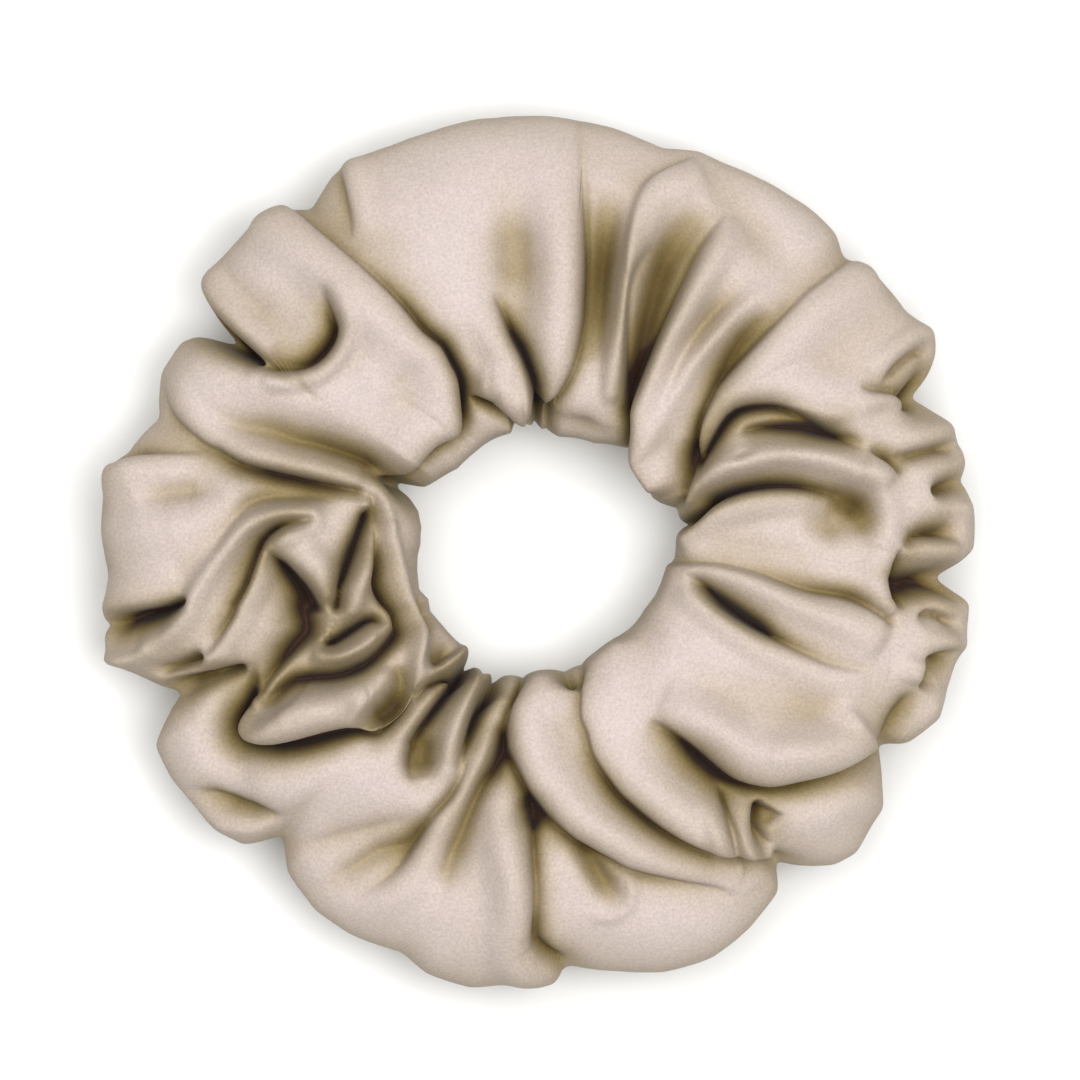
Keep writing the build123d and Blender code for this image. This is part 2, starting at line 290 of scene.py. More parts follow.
    # three o'clock at the rim: a rolled corner, and small ruffles that come out from under the lobes
    s.edge([(51.8, 25.3), (55.4, 27), (58.4, 27.7), (59.9, 27.5), (61.5, 26.5)], LEFT,
        step=(0, 1, 1.2, 1.2), crease=(0, 2.5, 3, 3), reach=4, spread=0.94, lean=0.4)
    s.edge([(48.6, 28), (50.5, 26), (54.9, 23.5), (55.9, 21.8)], RIGHT, step=(0, 0.8, 1, 1, 0.6),
        crease=(0, 2, 3, 3, 3), reach=4, spread=0.94, lean=0.3)
    s.valley([(55.4, 21.7), (58.7, 23.6), (60.7, 24.4)], depth=(4, 7, 7, 6), width=1.2)
    s.edge([(46.9, 18.1), (49.6, 14.6), (50.6, 13.1), (51.6, 11.1)], RIGHT, step=(0, 1.2, 1.6, 1.2, 0),
        crease=(0, 2, 3.5, 3, 0), spread=1.36, reach=5)
    s.edge([(49.5, 14.5), (53.2, 14.1), (57, 14.1), (60.2, 13.6)], LEFT, step=(0, 1, 1.2, 1.2),
        crease=(0, 3.5, 3.5, 3.5), reach=5, spread=1.19, lean=0.4)
    s.valley([(54.2, 8), (59.7, 9.2)], depth=(0, 4, 4.5, 4), width=1)
    s.ridge([(54, 11.3), (59.2, 11.3)], height=(0.5, 1.4), width=1.6)
    s.ridge([(53.3, 6.1), (58.8, 5.8)], height=(0.5, 1.4), width=1.6)
    s.edge([(49.5, 359.4), (51.3, 1.2), (52.9, 2.2), (58.5, 2.2)], RIGHT, step=(0, 1.2, 1.4, 1.4),
        crease=(0, 4, 5.5, 5), reach=5, spread=1.7, lean=0.4)
    s.ridge([(53, 358.4), (58.5, 358.2)], height=(1, 1.6), width=1.8)
    s.edge([(50.6, 0.2), (49.6, 357.8), (49.7, 353.5), (50.3, 352.1), (51.8, 351.1)], RIGHT,
        step=(0, 1.6, 2, 2, 1.6, 0), crease=(0, 3, 4.5, 4, 2), spread=1.36, reach=6)
    s.valley([(49.6, 354.6), (51.9, 354.2), (55.9, 354.9), (58.8, 354.4)], depth=(5, 8, 8, 7, 6),
        width=2)
    s.edge([(52.5, 348.5), (54, 349.9), (55.9, 350.5), (59.5, 349.3)], LEFT, step=(0, 1, 1.2, 1),
        crease=(0, 3, 3.5, 3), reach=4, spread=1.02, lean=0.4)
    s.ridge([(55.1, 346.9), (59.6, 347.1)], height=(0.8, 1.5), width=1.6)
    s.edge([(55.4, 343.5), (56, 344.3), (60.2, 346.2)], LEFT, step=(0, 1, 1), crease=(0, 5, 5), reach=4,
        spread=1.87, lean=0.4)
    s.edge([(56, 345.3), (56.3, 341.3), (56.3, 339)], RIGHT, step=(0, 1.6, 1.6, 0), crease=(1, 4, 4, 0),
        reach=5, spread=1.7)
    s.valley([(55.9, 339.4), (55.2, 337.9), (54.7, 333.9), (54.8, 331)], depth=(0, 2.6, 3.2, 3, 2.4),
        width=1.5)
    s.ridge([(58.2, 339.1), (57.4, 335), (56.6, 331.1)], height=(1, 1.4, 0.8), width=1.5)
    # four o'clock: a ridge over the smooth slope above it, and a long slot under the ridge
    s.edge([(15.2, 356.4), (17.9, 356), (23.6, 356.7), (26.9, 355.9), (30.4, 354.5), (33.8, 352.8),
        (37.2, 351.9), (44, 351.4), (50.6, 348.1)], RIGHT, step=(0.4, 0.8, 1, 1.2, 1.4, 1.4, 1.4, 1.2),
        crease=(1, 1.6, 2, 2.2, 2.6, 3.2, 3.6, 3), spread=(2.38, 2.38, 2.04, 1.53, 1.02), lip=3)
    s.valley([(22.1, 3.2), (34.4, 359.1), (41.4, 356)], depth=(0.3, 1.2, 1.2, 0.4), width=3.5)
    s.ridge([(19.2, 354.7), (24.2, 353.5), (29.5, 351.4), (45.3, 345)],
        height=(0.8, 1.6, 1.8, 1.8, 1.6, 1.2, 0.6), width=2)
    s.edge([(20.6, 351.5), (26.3, 343.6), (32.2, 340.6), (35.7, 339.7), (40.1, 339.1), (42.9, 339.1),
        (48.5, 340.4)], RIGHT, step=(0, 0.8, 1.4, 1.4, 1.2, 1, 0.8, 0.5, 0.3),
        crease=(0, 5, 9, 10, 8.5, 3.5, 1.8, 1.2, 1, 0.8, 0.5), spread=(0.85, 1.15, 1.15, 1.15, 1.6),
        reach=5, lip=2)
    s.ridge([(24, 325), (33, 332), (44, 336)], height=(0.8, 1.6, 1), width=4)
    s.ridge([(23.3, 300.5), (30, 309.6), (42.9, 322.7), (46.9, 326.4), (49.4, 329.7)],
        height=(0.4, 0.9, 1.4, 1.8, 1.9, 1.8, 1.4, 0.8), width=3.6)
    # five o'clock: the lobe under it, with its pocket
    s.edge([(27.3, 300.3), (32.8, 305.6), (39.9, 308.1), (42.4, 309.5), (44.8, 311.8), (46.9, 314.8),
        (50.8, 321.8), (52.5, 325.7), (54.4, 330.5)], LEFT,
        step=(0, 1.5, 2, 2.5, 2.8, 3.2, 3.8, 4, 4, 3.5, 3),
        crease=(0, 2.5, 5, 7, 6.5, 4.2, 3, 2.6, 2.6, 2.4, 2.2, 2, 1.5),
        spread=(1.7, 2.3, 2, 1.3, 1.5, 2, 2.5), lip=4, lean=1)
    s.edge([(45.9, 312), (46.3, 310.4), (48, 307.7), (49, 307.4), (49.9, 307.7), (51.1, 309.1)], RIGHT,
        step=(0, 1, 1.2, 1, 0.3), crease=(3, 6, 6.5, 6, 4, 0), spread=2.9, reach=4, lean=0.4)
    s.edge([(40.4, 307.5), (48.5, 303.6), (49.6, 303.9), (50.3, 304.9)], RIGHT,
        step=(0, 1, 1.2, 1, 0.3), crease=(1, 3, 3.5, 3, 1), spread=0.59, reach=4, lean=0.3)
    s.valley([(51, 305.7), (55.7, 309.6)], depth=(0, 1.2, 0.6), width=0.8)
    s.ridge([(50.2, 313.2), (52.7, 317), (54.5, 321.6)], height=(0.6, 1.4, 0.8), width=3)
    # the crescents from four to six o'clock, each lying over the next
    s.edge([(12.3, 294.6), (22.2, 282.1), (24, 281.6), (26.1, 282.5), (28.5, 282.6), (30.7, 283.7),
        (34.9, 286.5), (36.9, 288.2), (41.7, 292.3), (46.1, 296.4), (49.7, 300.5), (52.2, 304.4),
        (53.9, 307.4)], LEFT, step=(1, 1.2, 1.4, 1.6, 2, 2.5, 3, 3, 3, 3),
        crease=(1.6, 1, 0.8, 1.4, 2.6, 3.4, 3.6, 3.2, 2.6, 2), spread=(0.85, 1, 1.4, 1.7, 1.6, 1.3),
        lip=3.2, lean=0.9)
    s.valley([(16.1, 280.8), (17.9, 282.4), (19.9, 282.8)], depth=(3, 3.5, 0), width=1.3)
    s.edge([(12.6, 262.5), (18.6, 259.8), (21.3, 257.7), (24.1, 257.5), (26.7, 258.7), (28.1, 259.8),
        (33.1, 265.9), (36.2, 269.8), (39.8, 275), (41.4, 277.6), (43.9, 281.9), (46.8, 286.4),
        (53.7, 297.5), (56.3, 298.9)], LEFT, step=(1, 1.8, 2.4, 2.6, 2.6, 2.2, 1.8, 1.4, 1, 0.4),
        crease=(2, 2.6, 2.6, 3.2, 3.2, 2.8, 2.6, 2.2, 2, 1.2, 0), spread=(1.1, 1.3, 1.4, 1.2, 0.9),
        lip=3, lean=0.9)
    s.ridge([(40.1, 277.3), (47.5, 281.2), (49, 282.5)], height=(-0.4, -2, -3, -3, -1), width=1.5)
    s.ridge([(44.5, 284.7), (47.5, 285.3), (50, 283.7), (51.1, 280.6), (50.4, 277.8)],
        height=(0.3, 1, 1.2, 0.9, 0.2), width=1.1)
    s.ridge([(34.9, 277.9), (40.1, 283.9), (44.7, 289.8), (48.5, 295.2)], height=(0.4, 1.2, 1.4, 0.6),
        width=2.4)
    # six o'clock: a long pleat edge
    s.edge([(60.9, 275.2), (57.9, 273.1), (56, 271.1), (54.6, 269.9), (53.3, 269.4), (47.3, 269.7),
        (39.6, 269.2), (35.6, 269.3)], LEFT, step=(1.5, 2, 2, 1.6, 1, 0),
        crease=(3, 4, 3.5, 3, 3, 3.5, 2), spread=(1.7, 2.04, 1.1, 0.85), reach=8, lip=3)
    s.valley([(33.5, 266), (35, 267.7), (36.3, 268.5), (38.7, 268.8)], depth=(1, 5, 4.5, 1), width=1.1)
    s.valley([(25.1, 258.6), (28, 259.2), (31.1, 257.7), (33.3, 256.1), (42.2, 254.1), (44.4, 253.8),
        (49.3, 253.9)], depth=(3, 5.5, 6, 5.5, 5, 4.4, 3.8, 2.6, 0.8), width=(0.9, 1, 1.2, 1.6, 2, 2.2))
    s.ridge([(51.1, 266.9), (45.7, 265.7), (40.3, 263.1), (35.7, 261.1)], height=(1, 2, 2, 0.8),
        width=3)
    # seven o'clock: pleats that run up into the opening, then a smooth lobe
    s.edge([(55.8, 240.5), (51.6, 243.7), (49.5, 245), (47.1, 245.8), (39.7, 247.3), (35.6, 249.4),
        (31.5, 250.1), (29.5, 249.8)], RIGHT, step=(0, 0.6, 1, 1, 0.8, 0),
        crease=(0, 1.6, 3, 3.2, 3, 0), spread=(2.38, 2.38, 1.19, 0.85), reach=6, lip=2.4)
    s.edge([(33.2, 250.1), (23.6, 248.8), (15.1, 253.1), (12.4, 254.6)], LEFT,
        step=(0, 0.8, 1.2, 1.2, 1), crease=(0, 4, 7.5, 8.5, 8.5, 8), spread=(0.77, 1.27, 1.61, 1.36),
        reach=5, lip=2, lean=0.4)
    s.ridge([(23.5, 256.5), (27.9, 255.1), (32.2, 254.7), (36.8, 253.1)], height=(0, 1.2, 1.4, 0.6),
        width=1.3)
    s.valley([(39.6, 247.5), (44.2, 245.9), (46.1, 244.4), (48.1, 242), (55.9, 237.6)],
        depth=(0, 2, 3.4, 3.8, 3.4, 2.6, 1), width=2.4)
    s.valley([(39.6, 246.2), (50.4, 233.7), (54.7, 229.2)], depth=(0, 1.6, 2.2, 2.2, 1.6, 0.6),
        width=2.6)
    s.edge([(14.3, 241.2), (29.7, 236.9), (31.9, 237.7), (33.8, 238.8), (35.1, 240.4), (36.4, 243.2)],
        RIGHT, step=(1, 1, 1, 0.6, 0), crease=(6.5, 8, 8, 7, 5, 3, 0), spread=(1.2, 1.2, 1.1), reach=5,
        lip=2)
    s.ridge([(28.8, 238.9), (31.2, 239.8), (33.4, 241.4), (35.2, 243.5)], height=(-1, -4, -4.4, -1),
        width=1.9)
    s.ridge([(17.9, 246.4), (27.5, 244.8), (32.5, 246.3)], height=(1, 1.6, 1.6, 0.6), width=1.8)
    s.edge([(27.7, 230.4), (24.7, 230.2), (22.2, 231.8), (15.5, 241.4)], LEFT, step=(0, 0.8, 1, 1),
        crease=(0, 5, 6, 5), spread=0.94, reach=3, lip=1.4, lean=0.3)
    s.valley([(22.3, 227.3), (20.1, 227.2), (18.1, 228.1), (16.4, 231.5)], depth=(1, 4, 4, 1),
        width=0.9)
    s.valley([(17.2, 201), (18, 217.2)], depth=(1, 3.5, 1), width=1)
    s.valley([(59.2, 214.7), (56, 219.7), (52.5, 224.6)], depth=(0.6, 3.4, 4.6, 4.4, 2.6), width=1.8)
    s.ridge([(59.7, 218.4), (58.8, 220.4), (56.6, 222.9), (54.2, 225.1)], height=(0.6, 1.4, 1.4, 0.3),
        width=1.2)
    s.ridge([(52.4, 219.2), (46.4, 222.1), (40, 227.9), (32.5, 232.1)], height=(0.6, 1.6, 1.8, 0.6),
        width=4.5)
    # eight and nine o'clock: the rosette, folds wound about a dark heart
    s.edge([(43.8, 205.1), (48.7, 208.9), (49.5, 210.2), (50, 211.7), (49.4, 213.3), (48, 215),
        (46, 217), (43.6, 218.7), (36.7, 223.9), (34.6, 228.7), (32.7, 230.3), (28.6, 231.3),
        (24, 229.6)], LEFT, step=(1, 3, 4.5, 5, 5, 4.5, 4, 3, 2.5, 1.5),
        crease=(2, 5, 6.5, 7, 7, 6, 5, 4.5, 4, 2.5, 1), spread=(1.19, 1.87, 2.04, 1.36, 1.1), lean=1.2,
        lip=2.6)
    s.edge([(55.9, 200.8), (53.3, 200.5), (43.1, 202.1)], LEFT, step=(1, 1.5, 1.5, 1),
        crease=(4, 6, 6.5, 6, 3), spread=(2.6, 2.2, 1.3), reach=5)
    s.ridge([(45.2, 205), (48.2, 207.4), (50.4, 211), (51.8, 215.6)], height=(-2, -3.6, -3.6, -1.5),
        width=2.9)
    s.edge([(62.8, 191), (59.4, 189.9), (57.6, 189.5), (52.1, 189.3), (47.5, 188.2)], LEFT,
        step=(2, 2.5, 2.5, 1.5, 0), crease=(5.5, 7.5, 8.5, 8, 5, 1), spread=(2.4, 2.6, 1.9, 1.02),
        reach=7)
    s.ridge([(64.4, 193.1), (58.8, 195), (55.8, 195)], height=(2.2, 3, 2.8, 1.2), width=1.2)
    s.ridge([(55.1, 193.9), (52.9, 193.4), (50.7, 192.1), (48.7, 190.3), (47.4, 188), (43.9, 182.2),
        (40.9, 176.7), (39.1, 174.6), (37.2, 173), (34.9, 171.8), (31.8, 170.8)],
        height=(1.6, 2.2, 2.6, 3, 3, 3, 2.8, 2.2), width=1.6)
    s.valley([(30.4, 166.7), (37.5, 169.2), (39.5, 170.4), (41, 172.1), (43.9, 178.7), (45.1, 181.6)],
        depth=(1, 2, 2.6, 2.6, 2.2, 1.6, 0.4), width=1.1)
    s.edge([(30.3, 171.6), (34.5, 173.8), (36.3, 175.4), (37.6, 177.5), (38.5, 180), (40.9, 187.5),
        (42.5, 190.3), (43.2, 192), (48.4, 197.9)], LEFT, step=(0.4, 0.8, 0.8, 0.8, 0.4),
        crease=(1, 4, 6, 6.5, 6.5, 6, 5, 4, 2), spread=0.94, reach=4, lean=0.3)
    s.ridge([(30.7, 174.3), (33.7, 176), (36.2, 177.8), (37.8, 180), (41.5, 190.1), (48.9, 199.6)],
        height=(0.8, 1.8, 2.2, 2.4, 2.4, 2, 1.6, 0.8), width=1.3)
    s.edge([(56.6, 197.6), (47.3, 197.4)], RIGHT, step=(0.6, 0.8, 0.8, 0), crease=(3, 6, 7, 7, 4),
        spread=1.1, reach=4, lean=0.3)
    s.edge([(38.3, 180.4), (35.4, 183.8), (33.7, 187.3), (32.4, 191), (31.6, 196.9)], LEFT,
        step=(0, 1.5, 2.4, 2.4, 2), crease=(0, 4, 8, 9.5, 9.5, 9), spread=(1.02, 1.53, 1.53), reach=6)
    s.ridge([(33, 177.9), (29.6, 182.9), (29, 189.8)], height=(0.8, 1.8, 1.2), width=2.4)
    s.valley([(33.3, 194.1), (34, 199.4), (38.1, 202.8), (42.2, 206.1), (43.6, 207.9)],
        depth=(8, 10, 9, 8, 6.5, 4.5, 2), width=(2, 1.7, 1.3, 1.1))
    s.edge([(23.6, 165.2), (23.7, 170.3), (27.1, 187.9), (28, 191.6), (28.7, 195.3), (30.1, 197.3)],
        LEFT, step=(0.8, 1.4, 1.4, 1.2, 0.8), crease=(7, 9, 9, 8, 7, 6), spread=(1.44, 1.27, 1.02),
        reach=4, lean=0.5)
    s.edge([(22.8, 206.9), (24, 203.6), (25.6, 202.4), (30.9, 204.2), (31.9, 203.4), (32.3, 201.8)],
        LEFT, step=(0.3, 1, 1, 0.8), crease=(1, 5, 7, 7.5, 7, 6), spread=0.94, reach=4, lean=0.3)
    s.ridge([(23.6, 207.5), (25.8, 209), (28.4, 209.3), (31.3, 208), (33.5, 204.8), (34.5, 202.8),
        (38.6, 204.6), (42.4, 207.6), (44.1, 209.4)],
        height=(1, 1.8, 2.2, 2.2, 1.8, 1.6, 2, 2.2, 2.2, 1.8, 0.8), width=1.2)
    s.ridge([(23.1, 176.9), (24.9, 189.9), (27, 196.3)], height=(1.2, 2.4, 1.4), width=2)
    s.valley([(25.6, 162.8), (23.9, 162.6), (23.1, 163.7), (22, 169.5), (21.7, 173.8), (22.2, 188.2),
        (22.3, 191.7), (22, 195.6), (20.9, 203.7), (21.2, 207.9), (21.8, 210.3), (27.3, 213.3),
        (29.3, 213.3), (31.1, 212.9), (33.2, 211.8), (36.9, 208.8), (38.6, 208.3), (42.3, 209),
        (44.5, 210.3)], depth=(1, 4, 4.8, 4.8, 5, 5, 5, 5, 5, 4, 1.5), width=0.75)
    s.valley([(42.9, 202.9), (43.9, 204.6), (45.3, 207.9), (45.3, 209.7), (44.7, 210.8)],
        depth=(1, 3, 3.4, 3, 0.5), width=0.8)
    s.ridge([(44.6, 212.3), (41.6, 212.6), (38.9, 213.7), (34.9, 217.6), (32.5, 219.7)],
        height=(0.8, 2, 2.4, 2.2, 0.8), width=2.4)
    s.valley([(48, 211.9), (45.3, 211.3), (43.4, 210.5), (40.4, 209.8)], depth=(0.5, 2.2, 2.2, 0.8),
        width=1.1)
    s.ridge([(23.9, 221.5), (27, 225.2), (30, 226.1), (32.2, 224.8), (32.8, 221.3)],
        height=(-1, -6, -8.5, -7.5, -1.5), width=1.8)
    s.ridge([(22.2, 162.3), (19.9, 188.4), (19.7, 199.2), (19.4, 208.4), (20.9, 217.8), (23.6, 223.8),
        (27.2, 227.3), (30.5, 228.1), (33.6, 227.2), (35.7, 224.8)],
        height=(0.8, 2, 2.2, 2.2, 2.4, 2.8, 3.2, 3.2, 2.8, 2, 0.6), width=1.25)
    # ten o'clock: strips that pass under the big puff, and the puff's curled knob
    s.valley([(50.7, 158.9), (46.8, 158.4), (41, 156.3), (36.3, 155.9), (34.2, 155), (30.6, 154.1),
        (24.7, 153.1), (19.4, 155.3), (16.6, 156)], depth=(0, 1.6, 2.8, 3.8, 5, 6, 7, 6.5, 6),
        width=(2.8, 2.6, 1.8, 1.4))
    s.edge([(57.6, 155.9), (56.7, 156.5), (54.7, 159.4), (52.7, 161), (48.6, 163.1), (46.4, 163.4),
        (43.9, 164.2), (40.3, 164.5), (26.8, 163), (24.3, 161.9)], LEFT,
        step=(0.3, 0.8, 1, 1.4, 2, 2, 1.6, 0.8), crease=(0.4, 1, 1.6, 3, 5, 6.5, 6.5, 5, 2),
        spread=(1.19, 1.87, 2.38, 2.04), reach=5, lean=0.5)
    s.valley([(55.5, 173), (52.4, 171.6), (47.5, 170.2), (41.9, 170.2)], depth=(0, 2.2, 3, 1.8, 0),
        width=3)
    s.edge([(62.5, 168.5), (59, 167.5), (56.5, 166), (48, 163)], RIGHT, step=(2, 2, 1.2, 0),
        crease=(2, 2, 1.2, 0), spread=1.19, reach=7)
    s.ridge([(57, 178), (50, 176), (44, 172)], height=(1, 2, 1.4), width=4.5)
    s.edge([(47.1, 129.5), (42.4, 132), (41.1, 133.1), (40.3, 135), (40, 137.9), (40.4, 140.9),
        (41.6, 143.2), (43.5, 145.1), (45.6, 146.5)], LEFT, step=(0, 0.8, 1.2, 1.2, 1),
        crease=(0, 3, 5, 5, 5, 4.5, 4), spread=1.27, reach=4, lean=0.3)
    s.edge([(44.8, 146.7), (51.1, 145.8), (54.5, 145.1), (57.3, 144.3), (63.3, 141.9)], RIGHT,
        step=(1, 2, 2.2, 2), crease=(4, 6.5, 6.5, 5, 3), spread=(1.36, 2.04, 1.7), reach=5.5, lean=0.6)
    s.ridge([(54.9, 141), (41, 138.1)], height=(-0.8, -2, -2.4, -1.4), width=4.6)
    s.ridge([(44.1, 129.1), (40.7, 130.7), (38.7, 135), (38.8, 140.6), (41, 145.4), (44.6, 149)],
        height=(0.3, 0.9, 1.2, 1.2, 0.9, 0.3), width=1.5)
    s.ridge([(58, 134), (51, 136), (46.5, 138.5)], height=(1.4, 2.2, 1.4), width=5)
    s.ridge([(52, 127.5), (42, 127), (33, 128)], height=(0.8, 1.8, 2.2), width=5.5)
    s.ridge([(52, 152), (44, 150), (36, 146)], height=(1.4, 1.8, 1.2), width=4)


# The cover


def ring_values(points, angles):
    """A closed outline's radius at each angle, rounded a little at its corners."""
    points = sorted(points, key=lambda p: p[1])
    a = np.array([p[1] for p in points], float)
    r = np.array([p[0] for p in points], float)
    total = np.zeros(angles.shape)
    for shift, weight in ((-0.5, 1), (0, 2), (0.5, 1)):
        total += weight * np.interp(angles + shift, a, r, period=360)
    return total / 4


def section(rows):
    """The tube's puffed section: shares of its half width and half height, closest together on top."""
    t = np.linspace(0, tau, 4001)
    below, towards_opening, elsewhere = 3.0, 3.4, 2.0  # squareness, 2 being an ellipse
    power = 2 / np.where(np.sin(t) < 0, below, np.where(np.cos(t) < 0, towards_opening, elsewhere))
    across = np.sign(np.cos(t)) * np.abs(np.cos(t)) ** power
    up = np.sign(np.sin(t)) * np.abs(np.sin(t)) ** power
    run = np.hypot(np.diff(across) * HALF_WIDTH, np.diff(up) * HALF_HEIGHT)
    run = run * (1 + smoothstep(-0.6, 0.3, up[1:]))
    run = np.concatenate([[0], np.cumsum(run)])
    places = np.linspace(0, run[-1], rows, endpoint=False)
    return np.interp(places, run, across), np.interp(places, run, up)


def value_noise(x, y, cell, seed):
    """Smooth seeded noise from -1 to 1 on a square lattice."""
    size = 64
    lattice = np.random.default_rng(seed).uniform(-1, 1, (size, size))
    u, v = x / cell, y / cell
    iu, iv = np.floor(u).astype(int), np.floor(v).astype(int)
    fu, fv = smoothstep(0, 1, u - iu), smoothstep(0, 1, v - iv)

    def across_row(j):
        return lattice[iu % size, j % size] * (1 - fu) + lattice[(iu + 1) % size, j % size] * fu

    return across_row(iv) * (1 - fv) + across_row(iv + 1) * fv


def underside_folds(s):
    """Gathers of the hidden side, deepest at the opening."""
    rng = np.random.default_rng(7)
    angle = 0
    while angle < 350:
        bend = rng.uniform(-6, 6)
        outer = rng.uniform(44, 58)
        deep = rng.uniform(2.5, 5)
        start, middle = (outer, angle + bend), (0.6 * outer + 7, angle + bend * 0.4)
        end = (15.5, angle + rng.uniform(-3, 3))
        s.valley([start, middle, (26, angle), end], depth=(0, deep * 0.6, deep, deep), width=(2.8, 2.4, 1.5))
        angle += rng.uniform(8, 16)
    s.valley([(62, JOIN_ANGLE), (40, JOIN_ANGLE), (15, JOIN_ANGLE)], depth=0.7, width=0.3)


def section_normals(across, up):
    """Outward normal of the plain section at each row: its part along the radius and its part upwards."""
    d_across = np.roll(across, -1) - np.roll(across, 1)
    d_up = np.roll(up, -1) - np.roll(up, 1)
    n_r, n_z = d_up * (HIGH - LOW) / 2, -d_across * HALF_WIDTH
    length = np.hypot(n_r, n_z)
    return (n_r / length)[:, None], (n_z / length)[:, None]


def cover_surface():
    """The cloth's outer face, a grid of points with rows round the section and columns round the ring, and
    how far the folds lift each point."""
    angles = np.linspace(0, 360, COLUMNS, endpoint=False)
    turn = np.radians(angles)[None]
    across, up = section(ROWS)
    n_r, n_z = section_normals(across, up)
    across, up = across[:, None], up[:, None]
    outer, inner = ring_values(OUTLINE, angles)[None], ring_values(OPENING, angles)[None]
    radius = (outer + inner) / 2 + (outer - inner) / 2 * across
    # the lower half is drawn in from the outline and from the opening
    tuck = 1 - smoothstep(-0.7, 0.15, up)
    radius = radius + np.where(across < 0, 2.0, -1.5) * tuck * np.abs(across)
    x, y = radius * np.cos(turn), radius * np.sin(turn)
    z = (LOW + HIGH) / 2 + (HIGH - LOW) / 2 * up + 0 * x

    top, under = Sculpt(x, y), Sculpt(x, y)
    sculpt_top(top)
    underside_folds(under)
    on_top = smoothstep(4, 11, z)
    # a fold is full where the cloth faces up or down, and slight on the walls
    facing = np.where(across > 0, 0.2, 0.25) + 0 * x
    facing = facing + (1 - facing) * smoothstep(0.05, 0.75, np.abs(n_z))
    noise = 0.35 * value_noise(x, y, 9, 1) + 0.12 * value_noise(x, y, 3.5, 2)
    height = (top.height * on_top + under.height * (1 - on_top)) * facing + noise
    # the long seam draws the opening's wall in, stitch by stitch
    seam = np.exp(-(((z - SEAM_HEIGHT) / 0.35) ** 2)) * (across < -0.5)
    height = height - seam * (0.35 + 0.15 * np.sin(48 * turn))
    # no fold comes down onto the elastic
    over_elastic = np.exp(-(((radius - ELASTIC_RADIUS) / 7) ** 2))
    deepest = np.where(n_z > 0, 11 - 3 * over_elastic, 4 - over_elastic)
    height = np.where(height < 0, -deepest * np.tanh(-height / deepest), height)

    # beside the opening a fold drops down the wall
    drop = WALL_DROP * np.tanh(np.clip(top.height, -20, 4) / WALL_DROP) * on_top
    wall = smoothstep(0.8, 0.95, -across) * on_top
    x = x + n_r * height * np.cos(turn) + top.lean_x * on_top * facing
    y = y + n_r * height * np.sin(turn) + top.lean_y * on_top * facing
    z = z + n_z * height * (1 - wall) + 0.75 * wall * drop
    return np.stack([x, y, z], -1), height


def smooth_grid(points, rounds):
    """Each point of a grid moved half way to the middle of its four neighbours, some rounds over."""
    for _ in range(rounds):
        mean = sum(np.roll(points, step, axis) for axis in (0, 1) for step in (1, -1)) / 4
        points = points + 0.5 * (mean - points)
    return points


def blurred(grid, sigma_rows, sigma_columns):
    """A Gaussian blur that wraps round both ways."""
    rows, columns = grid.shape
    f_rows = np.fft.fftfreq(rows)[:, None] * sigma_rows
    f_columns = np.fft.rfftfreq(columns)[None] * sigma_columns
    keep = np.exp(-2 * pi**2 * (f_rows**2 + f_columns**2))
    return np.fft.irfft2(np.fft.rfft2(grid) * keep, s=grid.shape)


def spread_out(coarse, step, shape):
    """A coarse grid of values, taken at every step-th row and column, spread to the full grid."""
    rows, columns = coarse.shape
    row, column = np.arange(shape[0]) / step, np.arange(shape[1]) / step
    r0, c0 = np.floor(row).astype(int), np.floor(column).astype(int)
    fr, fc = (row - r0)[:, None], (column - c0)[None]
    low, high = (
        coarse[np.ix_(r % rows, c0 % columns)] * (1 - fc) + coarse[np.ix_(r % rows, (c0 + 1) % columns)] * fc
        for r in (r0, r0 + 1)
    )
    return low * (1 - fr) + high * fr


def openness(points):
    """How much of the sky over each point of the grid is clear of the cloth, from 0 to 1."""
    step, count, reach = 3, 24, 14.0
    coarse = points[::step, ::step]
    rows, columns = coarse.shape[:2]
    normals = grid_normals(coarse).reshape(-1, 3)
    places = coarse.reshape(-1, 3)
    tree = BVHTree.FromPolygons(places.tolist(), grid_faces(rows, columns).tolist())
    # rays evenly spread over a dome, most of them near its top
    k = np.arange(count) + 0.5
    lift, spin = np.sqrt(1 - k / count), k * pi * (3 - 5**0.5)
    flat = np.sqrt(1 - lift**2)
    rays = np.stack([flat * np.cos(spin), flat * np.sin(spin), lift], -1)
    helper = np.where(np.abs(normals[:, 2:]) < 0.9, [[0, 0, 1.0]], [[1.0, 0, 0]])
    side = np.cross(helper, normals)
    side /= np.linalg.norm(side, axis=1, keepdims=True)
    other = np.cross(normals, side)
    clear = np.zeros(len(places))
    starts = (places + 0.25 * normals).tolist()
    for ray in rays:
        ways = ray[0] * side + ray[1] * other + ray[2] * normals
        clear += [tree.ray_cast(start, way, reach)[0] is None for start, way in zip(starts, ways.tolist())]
    clear = blurred((clear / count).reshape(rows, columns), 0.9, 1.1)
    return spread_out(clear, step, points.shape)


def grid_faces(rows, columns, start=0, flip=False):
    """The quads of a grid that wraps round both ways, whose vertices begin at start."""
    i = np.arange(rows)[:, None]
    j = np.arange(columns)[None]
    a = start + i * columns + j
    b = start + i * columns + (j + 1) % columns
    c = start + (i + 1) % rows * columns + (j + 1) % columns
    d = start + (i + 1) % rows * columns + j
    quads = np.stack([a, b, c, d], -1).reshape(-1, 4)
    return quads[:, ::-1] if flip else quads


def grid_normals(points):
    """Unit normals of a grid that wraps round both ways."""
    du = np.roll(points, -1, 1) - np.roll(points, 1, 1)
    dv = np.roll(points, -1, 0) - np.roll(points, 1, 0)
    n = np.cross(du, dv)
    return n / np.linalg.norm(n, axis=-1, keepdims=True)


